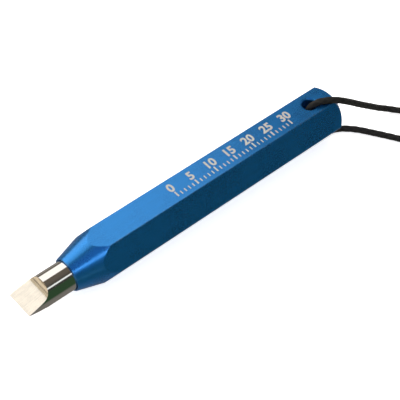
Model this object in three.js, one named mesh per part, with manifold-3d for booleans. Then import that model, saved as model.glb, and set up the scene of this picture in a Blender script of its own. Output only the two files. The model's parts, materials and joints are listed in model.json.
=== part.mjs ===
// Pocket chisel: a 6.1 mm round steel bit with a double-bevel edge, held in a hexagonal anodised
// aluminium handle by a grub screw, with a thin lanyard cord threaded through the handle's rear.
//
// Millimetres, +Z up. The tool lies on the lower flat of its hexagon, edge towards -X. The cord runs
// under the rear of the handle and lifts it by its own thickness, so the tool is tilted by under two
// degrees. The origin is on the table, below the middle of the tool.
import * as THREE from 'three';
import { mergeVertices } from 'three/addons/utils/BufferGeometryUtils.js';
import Module from 'manifold-3d';

const wasm = await Module();
wasm.setup();

// ---------------------------------------------------------------- driving dimensions
// Distances along the tool are measured from the rim of the handle's nose, rearwards.
const ACROSS_FLATS = 10;
const HANDLE_LENGTH = 69.3;
const NOSE_RIM_RADIUS = 3.49;
const NOSE_TAPER = 0.2815; // radius gained per mm along the turned nose
const REAR_DOME_RADIUS = 7;

const BIT_RADIUS = 3.05;
const BIT_REACH = 10.7; // bare bit in front of the nose
const SHANK_LENGTH = 28; // bit inside the handle
const BIT_CLEARANCE = 0.12;
const BORE_DEPTH = 28.6;
const DRILL_POINT_SLOPE = 0.6; // depth of the drill's point per mm of its radius
const EDGE_HALF_THICKNESS = 0.05;
const BEVEL_LENGTH = 3.4;
const BEVEL_ANGLE = 15; // degrees, each side
const RUNOUT_RADIUS = 2.55; // the wheel's hollow behind each bevel
const RUNOUT_END_ANGLE = 75;
const SHANK_FLAT_START = 9;
const SHANK_FLAT_DEPTH = 0.6;

const CORD_HOLE_AT = 62;
const CORD_HOLE_RADIUS = 1.5;
const CORD_HOLE_FLARE = 0.5;

const SCREW_AT = 14;
const SCREW_RADIUS = 1.4;
const SCREW_HOLE_RADIUS = 1.5;
const SCREW_LENGTH = 2.2;
const SCREW_TIP_GAP = 0.12;
const SOCKET_ACROSS_FLATS = 1.5;
const SOCKET_DEPTH = 1.1;

const CORD_RADIUS = 0.7;
const CORD_SIDES = 8;
const HANDLE_LIFT = 1.6; // height of the lower flat above the table at the cord hole

// ---------------------------------------------------------------- derived sizes
const ROUND_SEGMENTS = 72;
const APOTHEM = ACROSS_FLATS / 2;
const CORNER_RADIUS = APOTHEM / Math.cos(Math.PI / 6);
const NOSE_ON_FLAT = (APOTHEM - NOSE_RIM_RADIUS) / NOSE_TAPER;
const TILT = Math.asin(HANDLE_LIFT / (CORD_HOLE_AT - NOSE_ON_FLAT));
const TABLE_CORD_HEIGHT = CORD_RADIUS + 0.02;

// ---------------------------------------------------------------- helpers
const alongX = (geometry) => geometry.rotateZ(-Math.PI / 2);
const alongZ = (geometry) => geometry.rotateX(Math.PI / 2);

function solid(geometry) {
  const bare = geometry.index ? geometry.toNonIndexed() : geometry.clone();
  bare.deleteAttribute('normal');
  bare.deleteAttribute('uv');
  const merged = mergeVertices(bare, 1e-5);
  const mesh = new wasm.Mesh({
    numProp: 3,
    vertProperties: new Float32Array(merged.attributes.position.array),
    triVerts: new Uint32Array(merged.index.array),
  });
  return new wasm.Manifold(mesh);
}

function geometryOf(manifold) {
  const mesh = manifold.getMesh();
  const geometry = new THREE.BufferGeometry();
  geometry.setAttribute('position', new THREE.BufferAttribute(mesh.vertProperties, 3));
  geometry.setIndex(new THREE.BufferAttribute(mesh.triVerts, 1));
  geometry.computeVertexNormals();
  return geometry;
}

// A solid of revolution about the tool's axis, from [distance along, radius] pairs.
function turned(profile) {
  const points = profile.map(([along, radius]) => new THREE.Vector2(radius, along));
  return alongX(new THREE.LatheGeometry(points, ROUND_SEGMENTS));
}

// A prism across the tool (along Y) from a side outline of [distance along, height] pairs.
function acrossPrism(outline, width) {
  const shape = new THREE.Shape(outline.map(([along, height]) => new THREE.Vector2(along, height)));
  const prism = new THREE.ExtrudeGeometry(shape, { depth: width, bevelEnabled: false });
  return prism.rotateX(Math.PI / 2).translate(0, width / 2, 0);
}

function hexPrism(acrossFlats, length) {
  const corner = acrossFlats / 2 / Math.cos(Math.PI / 6);
  return new THREE.CylinderGeometry(corner, corner, length, 6);
}

function roundSection(radius, sides) {
  const points = [];
  for (let i = 0; i < sides; i += 1) {
    const angle = (2 * Math.PI * i) / sides;
    points.push(new THREE.Vector2(radius * Math.cos(angle), radius * Math.sin(angle)));
  }
  return new THREE.Shape(points);
}

function tube(points, steps) {
  const path = new THREE.CatmullRomCurve3(points.map((point) => new THREE.Vector3(...point)));
  const section = roundSection(CORD_RADIUS, CORD_SIDES);
  return new THREE.ExtrudeGeometry(section, { steps, extrudePath: path, bevelEnabled: false });
}

function piece(name, geometry, { color, roughness, metalness }) {
  const material = new THREE.MeshStandardMaterial({ color, roughness, metalness });
  const mesh = new THREE.Mesh(geometry, material);
  mesh.name = name;
  return mesh;
}

// ---------------------------------------------------------------- finishes
const ANODISED = { color: 0x2f86c8, roughness: 0.3, metalness: 1 };
const GROUND_STEEL = { color: 0xc9c7c2, roughness: 0.15, metalness: 1 };
const BLACK_STEEL = { color: 0x2a2a2c, roughness: 0.45, metalness: 0.9 };
const BLACK_CORD = { color: 0x161616, roughness: 0.85, metalness: 0 };
const SOFT_TIE = { color: 0x303234, roughness: 0.7, metalness: 0 };

// ---------------------------------------------------------------- handle
function rearDome() {
  const points = [];
  const steps = 10;
  const widest = Math.asin((CORNER_RADIUS + 0.2) / REAR_DOME_RADIUS);
  for (let i = 0; i <= steps; i += 1) {
    const angle = widest * (1 - i / steps);
    const drop = REAR_DOME_RADIUS * (1 - Math.cos(angle));
    points.push([HANDLE_LENGTH - drop, REAR_DOME_RADIUS * Math.sin(angle)]);
  }
  return points;
}

function handle() {
  const bar = alongX(hexPrism(ACROSS_FLATS, HANDLE_LENGTH + 2).rotateY(Math.PI / 6));
  const overCorner = CORNER_RADIUS + 0.2;
  const envelope = turned([
    [0, 0],
    [0, NOSE_RIM_RADIUS],
    [(overCorner - NOSE_RIM_RADIUS) / NOSE_TAPER, overCorner],
    ...rearDome(),
  ]);
  const boreRadius = BIT_RADIUS + BIT_CLEARANCE;
  const bore = turned([
    [-1, 0],
    [-1, boreRadius],
    [BORE_DEPTH, boreRadius],
    [BORE_DEPTH + boreRadius * DRILL_POINT_SLOPE, 0],
  ]);
  const flare = CORD_HOLE_RADIUS + CORD_HOLE_FLARE;
  const cordHoleProfile = [
    [0, -APOTHEM - 1],
    [flare + 1, -APOTHEM - 1],
    [CORD_HOLE_RADIUS, -APOTHEM + CORD_HOLE_FLARE],
    [CORD_HOLE_RADIUS, APOTHEM - CORD_HOLE_FLARE],
    [flare + 1, APOTHEM + 1],
    [0, APOTHEM + 1],
  ].map(([radius, height]) => new THREE.Vector2(radius, height));
  const cordHole = alongZ(new THREE.LatheGeometry(cordHoleProfile, 36));
  const screwHole = alongZ(new THREE.CylinderGeometry(SCREW_HOLE_RADIUS, SCREW_HOLE_RADIUS, APOTHEM, 24));
  return solid(bar.translate(HANDLE_LENGTH / 2, 0, 0))
    .intersect(solid(envelope))
    .subtract(solid(bore))
    .subtract(solid(cordHole.translate(CORD_HOLE_AT, 0, 0)))
    .subtract(solid(screwHole.translate(SCREW_AT, 0, -APOTHEM)));
}

// ---------------------------------------------------------------- bit
// Side outline of the steel ground away above the edge: a straight bevel, then a hollow run-out.
function grindOutline() {
  const start = THREE.MathUtils.degToRad(BEVEL_ANGLE);
  const end = THREE.MathUtils.degToRad(RUNOUT_END_ANGLE);
  const bevelTop = [-BIT_REACH + BEVEL_LENGTH, EDGE_HALF_THICKNESS + BEVEL_LENGTH * Math.tan(start)];
  const outline = [[-BIT_REACH - 1, EDGE_HALF_THICKNESS], [-BIT_REACH, EDGE_HALF_THICKNESS]];
  const steps = 8;
  for (let i = 0; i <= steps; i += 1) {
    const angle = start + ((end - start) * i) / steps;
    outline.push([
      bevelTop[0] + RUNOUT_RADIUS * (Math.sin(angle) - Math.sin(start)),
      bevelTop[1] + RUNOUT_RADIUS * (Math.cos(start) - Math.cos(angle)),
    ]);
  }
  const [lastAlong] = outline[outline.length - 1];
  outline.push([lastAlong + 0.2, BIT_RADIUS + 1], [-BIT_REACH - 1, BIT_RADIUS + 1]);
  return outline;
}

function cutterBit() {
  const chamfer = 0.4;
  const bar = turned([
    [-BIT_REACH, 0],
    [-BIT_REACH, BIT_RADIUS],
    [SHANK_LENGTH - chamfer, BIT_RADIUS],
    [SHANK_LENGTH, BIT_RADIUS - chamfer],
    [SHANK_LENGTH, 0],
  ]);
  const width = 2 * BIT_RADIUS + 2;
  const upperGrind = acrossPrism(grindOutline(), width);
  const lowerGrind = upperGrind.clone().rotateX(Math.PI);
  const flatLength = SHANK_LENGTH - SHANK_FLAT_START + 1;
  const flat = new THREE.BoxGeometry(flatLength, width, 2);
  flat.translate(SHANK_FLAT_START + flatLength / 2, 0, -BIT_RADIUS + SHANK_FLAT_DEPTH - 1);
  return solid(bar).subtract(solid(upperGrind)).subtract(solid(lowerGrind)).subtract(solid(flat));
}

// ---------------------------------------------------------------- grub screw
function grubScrew() {
  const tip = -BIT_RADIUS + SHANK_FLAT_DEPTH - SCREW_TIP_GAP;
  const chamfer = 0.25;
  const profile = [
    [0, -SCREW_LENGTH],
    [SCREW_RADIUS - chamfer, -SCREW_LENGTH],
    [SCREW_RADIUS, -SCREW_LENGTH + chamfer],
    [SCREW_RADIUS, -chamfer],
    [SCREW_RADIUS - chamfer, 0],
    [0, 0],
  ].map(([radius, height]) => new THREE.Vector2(radius, height));
  const body = alongZ(new THREE.LatheGeometry(profile, 24));
  const socket = alongZ(hexPrism(SOCKET_ACROSS_FLATS, 2 * SOCKET_DEPTH)).translate(0, 0, -SCREW_LENGTH);
  return solid(body).subtract(solid(socket)).translate([SCREW_AT, 0, tip]);
}

// ---------------------------------------------------------------- lanyard
// Each route is in the model's own frame, with the table at z = 0.
const UPPER_RUN = [
  [31.9, -0.1, 10.25],
  [31.85, -0.2, 11.2],
  [32.05, -0.4, 12.1],
  [32.75, -0.8, 12.75],
  [33.8, -1.25, 12.85],
  [35, -1.85, 12.68],
  [36.1, -2.4, 12.55],
  [37.2, -3, 12.3],
  [38.4, -3.45, 11.75],
  [39.7, -3.75, 11],
  [41.2, -3.85, 9.9],
  [44.2, -3.95, 7.6],
  [48, -3.95, 4.75],
  [51.2, -4, 2.4],
  [53.8, -4.75, 1.1],
  [55.8, -6.6, 0.85],
  [57.1, -8.7, 1.1],
];
const LOWER_RUN = [
  [33, 0, 2.3],
  [33.15, -0.05, 1.65],
  [33.6, -0.15, 1.05],
  [34.4, -0.3, 0.78],
  [36, -0.65, TABLE_CORD_HEIGHT],
  [38.6, -1.2, TABLE_CORD_HEIGHT],
  [41.1, -2, TABLE_CORD_HEIGHT],
  [43.1, -3.6, TABLE_CORD_HEIGHT],
  [44.6, -5.3, TABLE_CORD_HEIGHT],
  [46.4, -7.9, TABLE_CORD_HEIGHT],
  [48.2, -10.55, TABLE_CORD_HEIGHT],
  [49.9, -13.1, TABLE_CORD_HEIGHT],
  [52.6, -15.9, TABLE_CORD_HEIGHT],
  [56.4, -18, TABLE_CORD_HEIGHT],
  [60.5, -18.9, 0.9],
  [64.4, -19, 1.15],
];
const IN_HOLE = [
  [31.95, -0.05, 9.85],
  [32.4, 0, 6.5],
  [32.95, 0, 2.75],
];

const KNOT_LEAD = [
  [61.9, -12.1, 1.7],
  [63.1, -12.1, 2.1],
  [64.3, -11.7, 2.5],
];

const KNOT_CENTRE = [59.3, -10.95, 1.75];
const KNOT_HALF_SIZES = [2.7, 2.2, 1.7];
const KNOT_HEADING = -32; // degrees from +X
const KNOT_TAILS = [
  [[58.2, -12, 1.5], [56.8, -13.6, 1], [56.3, -15.2, TABLE_CORD_HEIGHT]],
  [[60.3, -10, 1.5], [61.7, -8.7, 1], [63.3, -8, TABLE_CORD_HEIGHT]],
];

const HANK_CENTRE = [78.8, -14.8];
const HANK_HALF_LENGTH = 12;
const HANK_WAIST = 0.8;
const HANK_LOBE = 5.2;
const HANK_LANES = 2;
const HANK_LAYERS = 2;
const CORD_PITCH = 1.45;
const TIE_WIDTH = 3;
const TIE_THICKNESS = 0.5;
const TIE_GAP = 0.1;
const TIE_SLACK = 0.25;

// Outline of the folded hank: a long loop, wide at both ends and pinched at its waist.
function hankOutline(offset, count) {
  const points = [];
  for (let i = 0; i < count; i += 1) {
    const turn = (2 * Math.PI * i) / count;
    const cos = Math.cos(turn);
    const sin = Math.sin(turn);
    const width = HANK_WAIST + HANK_LOBE * cos * cos;
    const alongRate = -HANK_HALF_LENGTH * sin;
    const acrossRate = cos * width - 2 * HANK_LOBE * cos * sin * sin;
    const speed = Math.hypot(alongRate, acrossRate);
    points.push(new THREE.Vector2(
      HANK_CENTRE[0] + HANK_HALF_LENGTH * cos + (offset * acrossRate) / speed,
      HANK_CENTRE[1] + sin * width - (offset * alongRate) / speed,
    ));
  }
  return points;
}

const HANK_REACH = (HANK_LANES - 1) * CORD_PITCH + CORD_RADIUS;
const HANK_HEIGHT = (HANK_LAYERS - 1) * CORD_PITCH + 2 * CORD_RADIUS;

function hank() {
  const outline = new THREE.Shape(hankOutline(HANK_REACH, 48));
  const block = new THREE.ExtrudeGeometry(outline, { depth: HANK_HEIGHT, bevelEnabled: false });
  return block.translate(0, 0, TIE_THICKNESS + TIE_GAP);
}

// A soft band round the hank's waist.
function hankTie() {
  const halfWidth = HANK_WAIST + HANK_REACH + TIE_SLACK;
  const height = HANK_HEIGHT + 2 * TIE_GAP;
  const middle = TIE_THICKNESS + height / 2;
  const ring = (halfAcross, halfUp) => {
    const outline = new THREE.Shape();
    outline.moveTo(-halfAcross, -halfUp);
    outline.lineTo(halfAcross, -halfUp);
    outline.lineTo(halfAcross, halfUp);
    outline.lineTo(-halfAcross, halfUp);
    return outline;
  };
  const band = ring(halfWidth + TIE_THICKNESS, height / 2 + TIE_THICKNESS);
  band.holes.push(ring(halfWidth, height / 2));
  const geometry = new THREE.ExtrudeGeometry(band, { depth: TIE_WIDTH, bevelEnabled: false });
  geometry.rotateX(Math.PI / 2).rotateZ(Math.PI / 2);
  return geometry.translate(HANK_CENTRE[0] - TIE_WIDTH / 2, HANK_CENTRE[1], middle);
}

// The lump of the knot, joined with its two cut ends.
function knot() {
  const lump = new THREE.SphereGeometry(1, 16, 12).scale(...KNOT_HALF_SIZES);
  lump.rotateZ(THREE.MathUtils.degToRad(KNOT_HEADING)).translate(...KNOT_CENTRE);
  const tails = KNOT_TAILS.map((route) => solid(tube(route, 4)));
  return tails.reduce((joined, tail) => joined.add(tail), solid(lump));
}

// ---------------------------------------------------------------- assembly
const tool = new THREE.Group();
tool.add(piece('handle', geometryOf(handle()), ANODISED));
tool.add(piece('cutter_bit', geometryOf(cutterBit()), GROUND_STEEL));
tool.add(piece('clamp_screw', geometryOf(grubScrew()), BLACK_STEEL));

// The front end of the lower flat touches the table at CONTACT_X, and the rear is raised.
const middleAlong = (HANDLE_LENGTH - BIT_REACH) / 2;
const alongTable = (along, height) => along * Math.cos(TILT) - height * Math.sin(TILT);
const upFromTable = (along, height) => along * Math.sin(TILT) + height * Math.cos(TILT);
tool.rotation.y = -TILT;
tool.position.set(-alongTable(middleAlong, 0), 0, -upFromTable(NOSE_ON_FLAT, -APOTHEM));

const group = new THREE.Group();
group.add(tool);
group.add(piece('cord_in_hole', tube(IN_HOLE, 4), BLACK_CORD));
group.add(piece('cord_upper_run', tube(UPPER_RUN, 30), BLACK_CORD));
group.add(piece('cord_lower_run', tube(LOWER_RUN, 36), BLACK_CORD));
group.add(piece('cord_knot', geometryOf(knot()), BLACK_CORD));
group.add(piece('cord_knot_lead', tube(KNOT_LEAD, 3), BLACK_CORD));
group.add(piece('cord_hank', hank(), BLACK_CORD));
group.add(piece('hank_tie', hankTie(), SOFT_TIE));

export default group;
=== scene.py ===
"""Pocket chisel: the looks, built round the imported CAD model.

The tool has a frame of its own, in which every piece on it is worked out: x runs rearwards along the
tool from the rim of the nose, z points out of the marked flat. TOOL carries that frame into the
model's. All lengths are in metres.
"""

import json
import math

import bpy
import numpy as np
from bpy.props import FloatProperty, FloatVectorProperty, PointerProperty
from mathutils import Matrix, Vector


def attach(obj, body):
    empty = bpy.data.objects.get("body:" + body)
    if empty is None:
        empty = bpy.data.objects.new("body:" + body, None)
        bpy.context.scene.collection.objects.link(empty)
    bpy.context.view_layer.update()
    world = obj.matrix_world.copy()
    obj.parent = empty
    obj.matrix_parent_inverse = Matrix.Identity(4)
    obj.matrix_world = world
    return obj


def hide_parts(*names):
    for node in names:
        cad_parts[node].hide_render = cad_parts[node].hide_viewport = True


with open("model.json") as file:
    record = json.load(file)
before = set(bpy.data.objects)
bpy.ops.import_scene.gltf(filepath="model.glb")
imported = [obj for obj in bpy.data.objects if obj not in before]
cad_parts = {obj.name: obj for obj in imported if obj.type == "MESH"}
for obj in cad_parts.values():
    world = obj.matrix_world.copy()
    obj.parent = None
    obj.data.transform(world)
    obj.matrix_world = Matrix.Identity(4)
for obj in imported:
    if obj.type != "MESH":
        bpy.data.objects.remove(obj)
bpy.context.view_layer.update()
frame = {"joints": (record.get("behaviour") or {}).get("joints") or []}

bl_info = {
    "name": "Pocket Chisel",
    "version": (1, 0, 0),
    "blender": (4, 5, 0),
    "location": "3D View > Sidebar > Pocket Chisel",
    "description": "Builds a hex-handled pocket chisel with its lanyard and a small studio",
    "category": "Add Mesh",
}

MM = 0.001

# ---------------------------------------------------------------- the tool's own sizes
ACROSS_FLATS = 10 * MM
HANDLE_LENGTH = 69.3 * MM
NOSE_RIM_RADIUS = 3.49 * MM
NOSE_TAPER = 0.2815
REAR_DOME_RADIUS = 7 * MM
BIT_RADIUS = 3.05 * MM
BIT_REACH = 10.7 * MM
SHANK_LENGTH = 28 * MM
CORD_HOLE_AT = 62 * MM
CORD_HOLE_RADIUS = 1.5 * MM
SCREW_AT = 14 * MM
SCREW_HOLE_RADIUS = 1.5 * MM
BORE_CLEARANCE = 0.12 * MM

APOTHEM = ACROSS_FLATS / 2
CORNER_RADIUS = APOTHEM / math.cos(math.pi / 6)
NOSE_ON_FLAT = (APOTHEM - NOSE_RIM_RADIUS) / NOSE_TAPER


def tool_matrix():
    """The tool's frame: its x axis is the bit's slide turned round, and the front end of its lower
    flat stands on the table, below the origin of the tool's middle."""
    slide = next(joint for joint in frame["joints"] if joint["name"] == "bit_slide")
    along = -Vector(slide["axis"]).normalized()
    across = Vector((0, 1, 0))
    up = along.cross(across)
    middle = (HANDLE_LENGTH - BIT_REACH) / 2
    origin = Vector((-along.x * middle, 0, up.z * APOTHEM - along.z * NOSE_ON_FLAT))
    matrix = Matrix((along, across, up)).transposed().to_4x4()
    matrix.translation = origin
    return matrix


TOOL = tool_matrix()


# ---------------------------------------------------------------- meshes
def placed(points, matrix=TOOL):
    """Points of the tool's frame carried into the model's frame."""
    turn = np.array(matrix.to_3x3())
    return points @ turn.T + np.array(matrix.translation)


def new_piece(name, points, faces, body=None, uv=None):
    """A mesh object from an (n, 3) array of points and a list of (m, k) arrays of corner indices."""
    mesh = bpy.data.meshes.new(name)
    mesh.from_pydata(points.tolist(), [], [face for block in faces for face in block.tolist()])
    if uv is not None:
        layer = mesh.uv_layers.new(name="UVMap")
        layer.data.foreach_set("uv", uv.astype(np.float32).ravel())
    mesh.update()
    mesh.validate()
    piece = bpy.data.objects.new(name, mesh)
    bpy.context.scene.collection.objects.link(piece)
    if body:
        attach(piece, body)
    return piece


def quads(rows, columns, first=0):
    """Quads of a grid of rows by columns that closes on itself along its columns."""
    row, column = np.meshgrid(np.arange(rows - 1), np.arange(columns), indexing="ij")
    after = (column + 1) % columns
    corners = np.stack([
        row * columns + column, row * columns + after,
        (row + 1) * columns + after, (row + 1) * columns + column,
    ], axis=-1)
    return corners.reshape(-1, 4) + first


def revolved(profile, segments):
    """A closed solid of revolution about x: each (along, radius) pair sweeps a circle, and the
    first and last pairs, which lie on the axis, become its poles."""
    profile = np.asarray(profile, float)
    rings = profile[1:-1]
    turn = np.linspace(0, 2 * np.pi, segments, endpoint=False)
    along = np.repeat(rings[:, :1], segments, axis=1)
    points = np.stack([along, rings[:, 1:] * np.cos(turn), rings[:, 1:] * np.sin(turn)], axis=-1)
    poles = np.array([[profile[0, 0], 0, 0], [profile[-1, 0], 0, 0]])
    faces = [quads(len(rings), segments), *end_fans(segments, len(rings) * segments)]
    return np.concatenate([points.reshape(-1, 3), poles]), faces


def end_fans(sides, count):
    """Triangles that close a tube of count ring points, whose poles are its last two points."""
    here = np.arange(sides)
    after = (here + 1) % sides
    last = count - sides
    start = np.stack([np.full(sides, count), after, here], axis=1)
    end = np.stack([np.full(sides, count + 1), last + here, last + after], axis=1)
    return start, end


def arc(centre, radius, start, end, steps):
    """Points on an arc, as (along, out) pairs, with its angles in degrees from the first axis."""
    angle = np.radians(np.linspace(start, end, steps + 1))
    return np.stack([centre[0] + radius * np.cos(angle), centre[1] + radius * np.sin(angle)], axis=1)


def prism(outline, low, high):
    """A prism on a closed outline of (u, v) pairs, between two levels of its third coordinate."""
    outline = np.asarray(outline, float)
    count = len(outline)
    levels = np.repeat([[low], [high]], count, axis=0)
    points = np.concatenate([np.tile(outline, (2, 1)), levels], axis=1)
    caps = [np.arange(count)[::-1][None], (np.arange(count) + count)[None]]
    return points, [quads(2, count), *caps]


def cut(piece, operation, *cutters):
    """Joins or cuts a piece with others by an exact boolean, and removes the others."""
    for cutter in cutters:
        modifier = piece.modifiers.new("cut", "BOOLEAN")
        modifier.operation = operation
        modifier.solver = "EXACT"
        modifier.object = cutter
        graph = bpy.context.evaluated_depsgraph_get()
        result = bpy.data.meshes.new_from_object(piece.evaluated_get(graph))
        piece.modifiers.clear()
        piece.data = result
        bpy.data.objects.remove(cutter)
    return piece


def finish_metal(piece, sharp=9):
    """Smooth shading split at the edges sharper than a few degrees, with flats kept flat."""
    mesh = piece.data
    mesh.shade_smooth()
    mesh.set_sharp_from_angle(angle=math.radians(sharp))
    weighted = piece.modifiers.new("flats", "WEIGHTED_NORMAL")
    weighted.keep_sharp = True


# ---------------------------------------------------------------- handle
def rounded_hexagon(apothem, edge_radius, steps):
    """A hexagon with two sides level, its corners rounded by arcs."""
    reach = (apothem - edge_radius) / math.cos(math.pi / 6)
    corners = []
    for index in range(6):
        middle = 60 * index
        centre = reach * np.array([math.cos(math.radians(middle)), math.sin(math.radians(middle))])
        corners.append(arc(centre, edge_radius, middle - 30, middle + 30, steps))
    return np.concatenate(corners)


def build_handle(settings):
    """The hexagonal bar cut to the turned envelope of nose and dome, then bored and drilled."""
    outline = rounded_hexagon(APOTHEM, settings.edge_radius, 8)
    points, faces = prism(outline, -MM, HANDLE_LENGTH + MM)
    bar = new_piece("handle_body", placed(points[:, [2, 0, 1]]), faces)

    over = CORNER_RADIUS + 0.3 * MM
    rim = settings.rim_rounding
    widest = math.degrees(math.asin(over / REAR_DOME_RADIUS))
    dome_centre = (HANDLE_LENGTH - REAR_DOME_RADIUS, 0)
    envelope = np.concatenate([
        [(0, 0)],
        arc((rim, NOSE_RIM_RADIUS - rim), rim, 180, 100, 4),
        [((over - NOSE_RIM_RADIUS) / NOSE_TAPER, over)],
        arc(dome_centre, REAR_DOME_RADIUS, widest, 3, 16),
        [(HANDLE_LENGTH, 0)],
    ])
    points, faces = revolved(envelope, 240)
    turned = new_piece("turned_envelope", placed(points), faces)

    bore_radius = BIT_RADIUS + BORE_CLEARANCE
    lead = 0.1 * MM
    bore = [
        (-MM, 0), (-MM, bore_radius + lead + MM), (lead, bore_radius),
        (SHANK_LENGTH + 0.6 * MM, bore_radius), (SHANK_LENGTH + 2.5 * MM, 0),
    ]
    points, faces = revolved(bore, 160)
    bore_cutter = new_piece("bore_cutter", placed(points), faces)

    flare = settings.hole_rounding
    upper = arc((CORD_HOLE_RADIUS + flare, APOTHEM - flare), flare, 180, 100, 8)[:, ::-1]
    out = [(APOTHEM + MM, upper[-1, 1] + 0.4 * MM), (APOTHEM + MM, 0)]
    half = np.concatenate([upper, out])
    hole = np.concatenate([half[::-1] * (-1, 1), half])
    points, faces = revolved(hole, 96)
    upright = points[:, [2, 1, 0]] * (1, -1, 1) + (CORD_HOLE_AT, 0, 0)
    hole_cutter = new_piece("hole_cutter", placed(upright), faces)

    tap = SCREW_HOLE_RADIUS
    above = APOTHEM + MM
    screw_hole = [(0, 0), (0, tap), (APOTHEM - 0.2 * MM, tap), (above, tap + 1.2 * MM), (above, 0)]
    points, faces = revolved(screw_hole, 48)
    downward = points[:, [2, 1, 0]] * (1, 1, -1) + (SCREW_AT, 0, 0)
    screw_cutter = new_piece("screw_cutter", placed(downward), faces)

    cut(bar, "INTERSECT", turned)
    cut(bar, "DIFFERENCE", bore_cutter, hole_cutter, screw_cutter)
    finish_metal(bar)
    return bar


# ---------------------------------------------------------------- materials
def new_material(name, color, metallic, roughness):
    """A material with its Principled shader, and the shader's node tree."""
    material = bpy.data.materials.new(name)
    material.use_nodes = True
    shader = material.node_tree.nodes["Principled BSDF"]
    shader.inputs["Base Color"].default_value = (*color, 1)
    shader.inputs["Metallic"].default_value = metallic
    shader.inputs["Roughness"].default_value = roughness
    return material, material.node_tree, shader


def paint(piece, material):
    piece.data.materials.clear()
    piece.data.materials.append(material)


def node(tree, kind, inputs=None, **options):
    """Adds a shader node. An input is a value, or the output that feeds it."""
    made = tree.nodes.new("ShaderNode" + kind)
    for key, value in options.items():
        setattr(made, key, value)
    for key, value in (inputs or {}).items():
        if isinstance(value, bpy.types.NodeSocket):
            tree.links.new(value, made.inputs[key])
        else:
            made.inputs[key].default_value = value
    return made


def calc(tree, operation, *values):
    return node(tree, "Math", dict(enumerate(values)), operation=operation).outputs[0]


def noise(tree, vector, scale, detail=2.0):
    return node(tree, "TexNoise", {"Vector": vector, "Scale": scale, "Detail": detail}).outputs["Fac"]


def stretched(tree, vector, factors):
    return node(tree, "VectorMath", {0: vector, 1: factors}, operation="MULTIPLY").outputs[0]


def fade(tree, value, start, end, low=0.0, high=1.0):
    """A smooth step from low at start to high at end."""
    inputs = {"Value": value, "From Min": start, "From Max": end, "To Min": low, "To Max": high}
    return node(tree, "MapRange", inputs, interpolation_type="SMOOTHSTEP").outputs["Result"]


def blend_numbers(tree, factor, low, high):
    return node(tree, "Mix", {0: factor, 2: low, 3: high}, data_type="FLOAT").outputs[0]


def blend_colors(tree, factor, low, high):
    low, high = ((*c, 1) if isinstance(c, tuple) else c for c in (low, high))
    return node(tree, "Mix", {0: factor, 6: low, 7: high}, data_type="RGBA").outputs[2]


def bumped(tree, shader, height, strength, distance, under=None):
    """Adds a bump to the shader's normal, on top of another bump where one is given."""
    inputs = {"Height": height, "Strength": strength, "Distance": distance}
    if under is not None:
        inputs["Normal"] = under
    normal = node(tree, "Bump", inputs).outputs["Normal"]
    tree.links.new(normal, shader.inputs["Normal"])
    return normal


def hypotenuse(tree, first, second):
    """The root of the sum of two squares."""
    squares = [calc(tree, "MULTIPLY", side, side) for side in (first, second)]
    return calc(tree, "SQRT", calc(tree, "ADD", *squares))


def mean(tree, first, second, share=0.5):
    """A weighted mean of two numbers."""
    parts = [calc(tree, "MULTIPLY", first, 1 - share), calc(tree, "MULTIPLY", second, share)]
    return calc(tree, "ADD", *parts)


def tool_space(tree):
    """Object coordinates turned into the tool's own frame, in millimetres."""
    place = TOOL.inverted()
    inputs = {
        "Vector": node(tree, "TexCoord").outputs["Object"],
        "Location": place.translation / MM,
        "Rotation": place.to_euler(),
        "Scale": (1 / MM,) * 3,
    }
    return node(tree, "Mapping", inputs).outputs[0]


def shades(tree, color, factor, low, high):
    """A colour that runs from low to high times itself."""
    darker, lighter = (tuple(min(1.0, channel * times) for channel in color) for times in (low, high))
    return blend_colors(tree, factor, darker, lighter)


# Paler colour of the bar's edges: partly rubbed wear, partly a painted edge highlight.
EDGE_WEAR_AND_HIGHLIGHT = (0.26, 0.46, 0.68)
STRAW_TINTS = ((0.63, 0.59, 0.53), (0.74, 0.69, 0.615))
FIBRE_FINENESS = 11.0


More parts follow.
